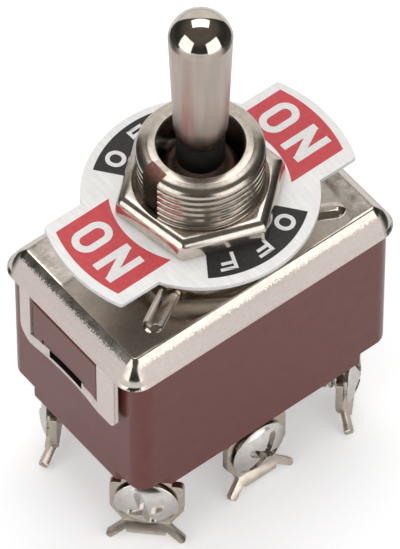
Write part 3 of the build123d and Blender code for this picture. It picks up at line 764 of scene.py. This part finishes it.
def master_screw():
    """Domed screw with a slot and a cross, standing on the axis with its head up."""
    foot, thread, root, collar, collar_foot, head, rim = -4.95, 1.65, 1.3, 2.3, -0.3, 3.05, 0.16
    edge = head - 0.08
    dome = (edge ** 2 + (HEAD_HEIGHT - rim) ** 2) / (2 * (HEAD_HEIGHT - rim))
    dome_start = 90 - math.degrees(math.asin(edge / dome))
    outline = [(AXIS_RADIUS, foot), (thread - 0.25, foot), (thread, foot + 0.25), (thread, collar_foot)]
    outline += [(collar, collar_foot), (collar, 0.0), (head - 0.06, 0.0), (head, 0.05)]
    outline += [(head, rim - 0.06), (head - 0.03, rim - 0.02), (edge, rim)]
    outline += arc((0, HEAD_HEIGHT - dome), dome, dome_start, 90, 12)[1:-1]
    outline += [(AXIS_RADIUS, HEAD_HEIGHT)]
    screw = turned("master_screw", outline, 96)
    settle(screw, 30)
    for length, turn in ((4.8, 90), (3.8, 0)):
        groove = rounded_tile("groove", length, 0.85, HEAD_HEIGHT - 0.75, HEAD_HEIGHT + 1, 0.4)
        lay(groove, turn, (0, 0))
        combine(screw, groove)
    settle(screw, 28)
    bevelled(screw, 0.06, 50)
    combine(screw, helix_cutter("screw_cutter", thread, root, pitch=0.6, low=-5.3, high=-0.8, sides=48))
    settle(screw, 28)
    return screw


def terminal_screws():
    """The screw is modelled once and copied to the six terminals, each turned its own way."""
    master = master_screw()
    up = Vector((0, 0, 1))
    for place, turn in SCREW_TURNS.items():
        node_name = "screw_" + place
        column, row = place.split("_")
        outward = Vector((OUTWARD[column], OUTWARD[row], 0)).normalized()
        across = Vector((-outward.y, outward.x, 0))
        solid = nodes[node_name]
        head_top = max(outward.dot(solid.matrix_world @ v.co) for v in solid.data.vertices)
        low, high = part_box(node_name)
        middle = (low + high) / 2
        spot = outward * (head_top - HEAD_HEIGHT * MM) + across * middle.dot(across)
        spot.z = middle.z
        stand = Matrix((across, up, outward)).transposed().to_4x4()
        screw = master.copy()
        screw.data = master.data.copy()
        screw.name = node_name + "_domed"
        bpy.context.scene.collection.objects.link(screw)
        screw.matrix_world = Matrix.Translation(spot) @ stand @ Matrix.Rotation(math.radians(turn), 4, "Z")
        pick(screw)
        bpy.ops.object.transform_apply(location=True, rotation=True, scale=True)
        paint(screw, screw_plating)
        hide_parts(node_name)
        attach(screw, "base")
    discard(master)


# ---------- cover and housing ----------

NOTCH_WIDTH, NOTCH_HEIGHT, NOTCH_SHIFT, NOTCH_LEVEL = 6.8, 2.0, -0.6, -8.3
NOTCH_REACH = NOTCH_WIDTH / 2 - NOTCH_SHIFT
NOTCH_FLOOR = NOTCH_LEVEL - NOTCH_HEIGHT / 2


def catch_notch(side, middle, depth):
    """Cutting bar for the catch notch at the foot of an end window."""
    return bar((depth, NOTCH_WIDTH, NOTCH_HEIGHT), (side * middle, side * NOTCH_SHIFT, NOTCH_LEVEL))


def bend_cutter():
    """Ring that trims the tray's round bend to a crisp edge above an easy slope."""
    length, width, corner, run, skirt = 31.9, 19.9, 2.2, 2.1, 2.55
    slope = arc((-1.948, -1.348), 4.0, 12, 45, 9)[1:]
    slope += [(0.34, 2.02), (0.285, 2.058), (0.22, 2.082), (0.1, 2.13), (0.09, run + 1)]
    plug = rounded_tile("bend_plug", length, width, -skirt - 1, -skirt, corner, 14)
    pick(plug)
    bpy.ops.object.mode_set(mode="EDIT")
    bpy.ops.mesh.select_mode(type="FACE")
    bpy.ops.mesh.select_all(action="DESELECT")
    bpy.ops.object.mode_set(mode="OBJECT")
    for face in plug.data.polygons:
        face.select = face.normal.z > 0.9
    bpy.ops.object.mode_set(mode="EDIT")
    inset, level = 0.0, -skirt
    for reach, height in slope:
        bpy.ops.mesh.inset(thickness=max(run - reach - inset, 1e-4) * MM, depth=(height - run - level) * MM)
        inset, level = run - reach, height - run
    bpy.ops.object.mode_set(mode="OBJECT")
    ring = rounded_tile("bend_ring", length + 2, width + 2, -skirt, 0.7, corner + 1, 14)
    combine(ring, plug)
    return ring


def pressed_cover():
    """Cover with its crisp bend, and painted shade on the floor of the catch notch in each strap."""
    cover = dressed_copy("cover")
    combine(cover, bend_cutter())
    for side in (-1, 1):
        combine(cover, catch_notch(side, 14.72, 2))
    bevelled(cover, 0.07, 50)
    settle(cover, 30)
    even_shading(cover)
    paint(cover, cover_nickel, painted_shade_phenolic)
    # Painted shade: the upward floor faces of each catch notch take the dark phenolic colour.
    for face in cover.data.polygons:
        y, z = face.center.y / MM, face.center.z / MM
        if abs(y) < NOTCH_REACH + 0.1 and abs(z - NOTCH_FLOOR) < 0.1 and face.normal.z > 0.9:
            face.material_index = 1
    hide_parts("cover")
    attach(cover, "base")


def notched_housing():
    """Housing with the deep catch notch at the foot of each end window, whose sunk faces are painted dark as
    shade.
    """
    housing = dress("housing", phenolic, width=0.12)
    wall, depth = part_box("housing")[1].x / MM, 2.4
    for side in (-1, 1):
        combine(housing, catch_notch(side, wall, depth))
    settle(housing, 30)
    even_shading(housing)
    # Painted shade: the faces sunk in each catch notch take the dark phenolic colour.
    housing.data.materials.append(painted_shade_phenolic)
    for face in housing.data.polygons:
        x, y, z = (c / MM for c in face.center)
        sunk = wall - depth / 2 - 0.1 < abs(x) < wall - 0.01
        if sunk and abs(y) < NOTCH_REACH + 0.1 and abs(z - NOTCH_LEVEL) < NOTCH_HEIGHT / 2 + 0.1:
            face.material_index = 1


def window_bosses():
    """Raised panel of the housing that fills each end window, its edges chamfered."""
    height, width, rise, corner, chamfer = 5.35, 9.6, 0.21, 0.35, 0.2
    face_reach, middle_height = 15.735, -5.5
    for name, side in (("left_window_boss", -1), ("right_window_boss", 1)):
        boss = rounded_tile(name, height, width, 0, rise, corner, 4)
        weigh_edges(boss, lambda start, end: 1.0 if min(start.z, end.z) > chamfer * MM else 0.0)
        weighted_bevel(boss, chamfer, 2)
        catch_gap = bar((1.25, 6.2, 2), (-2.4, 0.3, 0))
        combine(boss, catch_gap)
        boss.location = (side * face_reach * MM, 0, middle_height * MM)
        boss.rotation_euler = (0, math.radians(-90), math.radians(90 + 90 * side))
        settle(boss, 20)
        paint(boss, phenolic)
        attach(boss, "base")


# ---------- camera, floor and light ----------

CAMERA_AZIMUTH, CAMERA_ELEVATION = 38.493, 52.588
ACROSS, BEHIND = (0.7826, -0.6224, 0.0), (0.6224, 0.7826, 0.0)  # as the camera sees the floor
FLOOR_WHITE, FLOOR_GLOW = (0.9, 0.9, 0.9), 0.33
SWEEP_WHITE, ROOM_DARK, CEILING = (0.82, 0.80, 0.77), (0.035, 0.034, 0.032), (0.12, 0.108, 0.092)
EVEN_GREY = (0.52, 0.52, 0.52)


def camera():
    """Long lens, looking down on the switch over its near corner."""
    distance, aim_right, aim_up = 657.95 * MM, 0.052 * MM, 4.236 * MM
    azimuth, elevation = math.radians(CAMERA_AZIMUTH), math.radians(CAMERA_ELEVATION)
    right = Vector((math.cos(azimuth), -math.sin(azimuth), 0))
    ahead = Vector((math.sin(azimuth) * math.cos(elevation), math.cos(azimuth) * math.cos(elevation),
                    -math.sin(elevation)))
    up = right.cross(ahead)
    place = -ahead * distance - right * aim_right - up * aim_up
    lens = bpy.data.cameras.new("camera")
    lens.lens = 470
    lens.sensor_width = 36
    lens.clip_start, lens.clip_end = 0.01, 10
    eye = bpy.data.objects.new("camera", lens)
    bpy.context.scene.collection.objects.link(eye)
    eye.matrix_world = Matrix.Translation(place) @ Matrix((right, up, -ahead)).transposed().to_4x4()
    bpy.context.scene.camera = eye


def softbox(name, azimuth, elevation, size, radiance):
    """Soft light seen from the switch at an azimuth and elevation; azimuth 0 is the camera's side."""
    distance = 0.7
    turn, rise = math.radians(azimuth + CAMERA_AZIMUTH + 180), math.radians(elevation)
    back = Vector((math.sin(turn) * math.cos(rise), math.cos(turn) * math.cos(rise), math.sin(rise)))
    lamp = bpy.data.lights.new(name, "AREA")
    lamp.shape = "RECTANGLE"
    lamp.size, lamp.size_y = size
    lamp.energy = radiance * math.pi * size[0] * size[1]
    box = bpy.data.objects.new(name, lamp)
    box.location = back * distance
    box.rotation_mode = "QUATERNION"
    box.rotation_quaternion = (-back).to_track_quat("-Z", "Y")
    bpy.context.scene.collection.objects.link(box)


def pale_floor():
    """White paper whose far sides fall off into the dark room, as gloss shows them."""
    deselect()
    bpy.ops.mesh.primitive_plane_add(size=6, location=(0, 0, cad_low.z))
    floor = bpy.context.object
    floor.name = "floor"
    bpy.ops.object.transform_apply(location=True)
    mat, n, l, shader = blank_material("pale_floor", 0.9)
    place = n.new("ShaderNodeTexCoord").outputs["Object"]
    paths = n.new("ShaderNodeLightPath")
    aside = math_node(n, l, "ABSOLUTE", reach_along(n, l, place, ACROSS))
    paper_reach = math_node(n, l, "MAXIMUM", reach_along(n, l, place, BEHIND, 0.85), 0.07)
    off_paper = between(n, l, math_node(n, l, "SUBTRACT", aside, paper_reach), 0.0, 0.012)
    spread = math_node(n, l, "MULTIPLY", aside, 0.35)
    behind = math_node(n, l, "ADD", reach_along(n, l, place, BEHIND), spread)
    off_paper = math_node(n, l, "MULTIPLY", off_paper, between(n, l, behind, -0.02, 0.02))
    dark = math_node(n, l, "MULTIPLY", off_paper, paths.outputs["Is Glossy Ray"])
    l.new(blend(n, l, dark, FLOOR_WHITE, ROOM_DARK), shader.inputs["Base Color"])
    glow = math_node(n, l, "MULTIPLY", paths.outputs["Is Camera Ray"], FLOOR_GLOW)
    l.new(glow, shader.inputs["Emission Strength"])
    shader.inputs["Emission Color"].default_value = (1, 1, 1, 1)
    floor.data.materials.append(mat)


def surroundings():
    """White to the eye, even for matt surfaces, and for gloss a white sweep behind in a dim room."""
    sweep_width, sweep_height = 0.9, 1.13
    world = bpy.data.worlds.new("studio")
    bpy.context.scene.world = world
    world.use_nodes = True
    n, l = world.node_tree.nodes, world.node_tree.links
    paths = n.new("ShaderNodeLightPath")
    ray = n.new("ShaderNodeTexCoord").outputs["Generated"]
    aside = math_node(n, l, "POWER", reach_along(n, l, ray, ACROSS, 1 / sweep_width), 2)
    rise = math_node(n, l, "POWER", reach_along(n, l, ray, (0, 0, 1), 1 / sweep_height), 2)
    round_edge = math_node(n, l, "SQRT", math_node(n, l, "ADD", aside, rise))
    past_sweep = math_node(n, l, "SUBTRACT", round_edge, reach_along(n, l, ray, BEHIND))
    overhead = between(n, l, reach_along(n, l, ray, (0, 0, 1)), 0.2, 0.85)
    dim = blend(n, l, overhead, ROOM_DARK, CEILING)
    gloss = blend(n, l, between(n, l, past_sweep, -0.05, 0.03), SWEEP_WHITE, dim)
    lit = blend(n, l, paths.outputs["Is Glossy Ray"], EVEN_GREY, gloss)
    seen = blend(n, l, paths.outputs["Is Camera Ray"], lit, (1.0, 1.0, 1.0))
    l.new(seen, n["Background"].inputs["Color"])
    bpy.context.scene.view_settings.view_transform = "Standard"


# ---------- the switch and its studio ----------

threaded_bushing()
pillow_nut("panel_nut", turn=69.4, bore=5.7, sink=6.35)
printing()
lever()
terminal_screws()
notched_housing()
pressed_cover()
window_bosses()
shortening_springs()
indicator_plate()
dress("back_nut", turned_nickel, width=0.08, degrees=25)
for terminal in [name for name in nodes if name.startswith("terminal")]:
    dress(terminal, terminal_plating, width=0.16, degrees=50, segments=3)
camera()
pale_floor()
softbox("overhead_softbox", azimuth=180, elevation=69, size=(0.66, 0.385), radiance=2.1)
softbox("left_softbox", azimuth=54, elevation=15, size=(0.60, 0.64), radiance=1.6)
softbox("right_softbox", azimuth=-47, elevation=13, size=(0.62, 0.62), radiance=1.6)
surroundings()
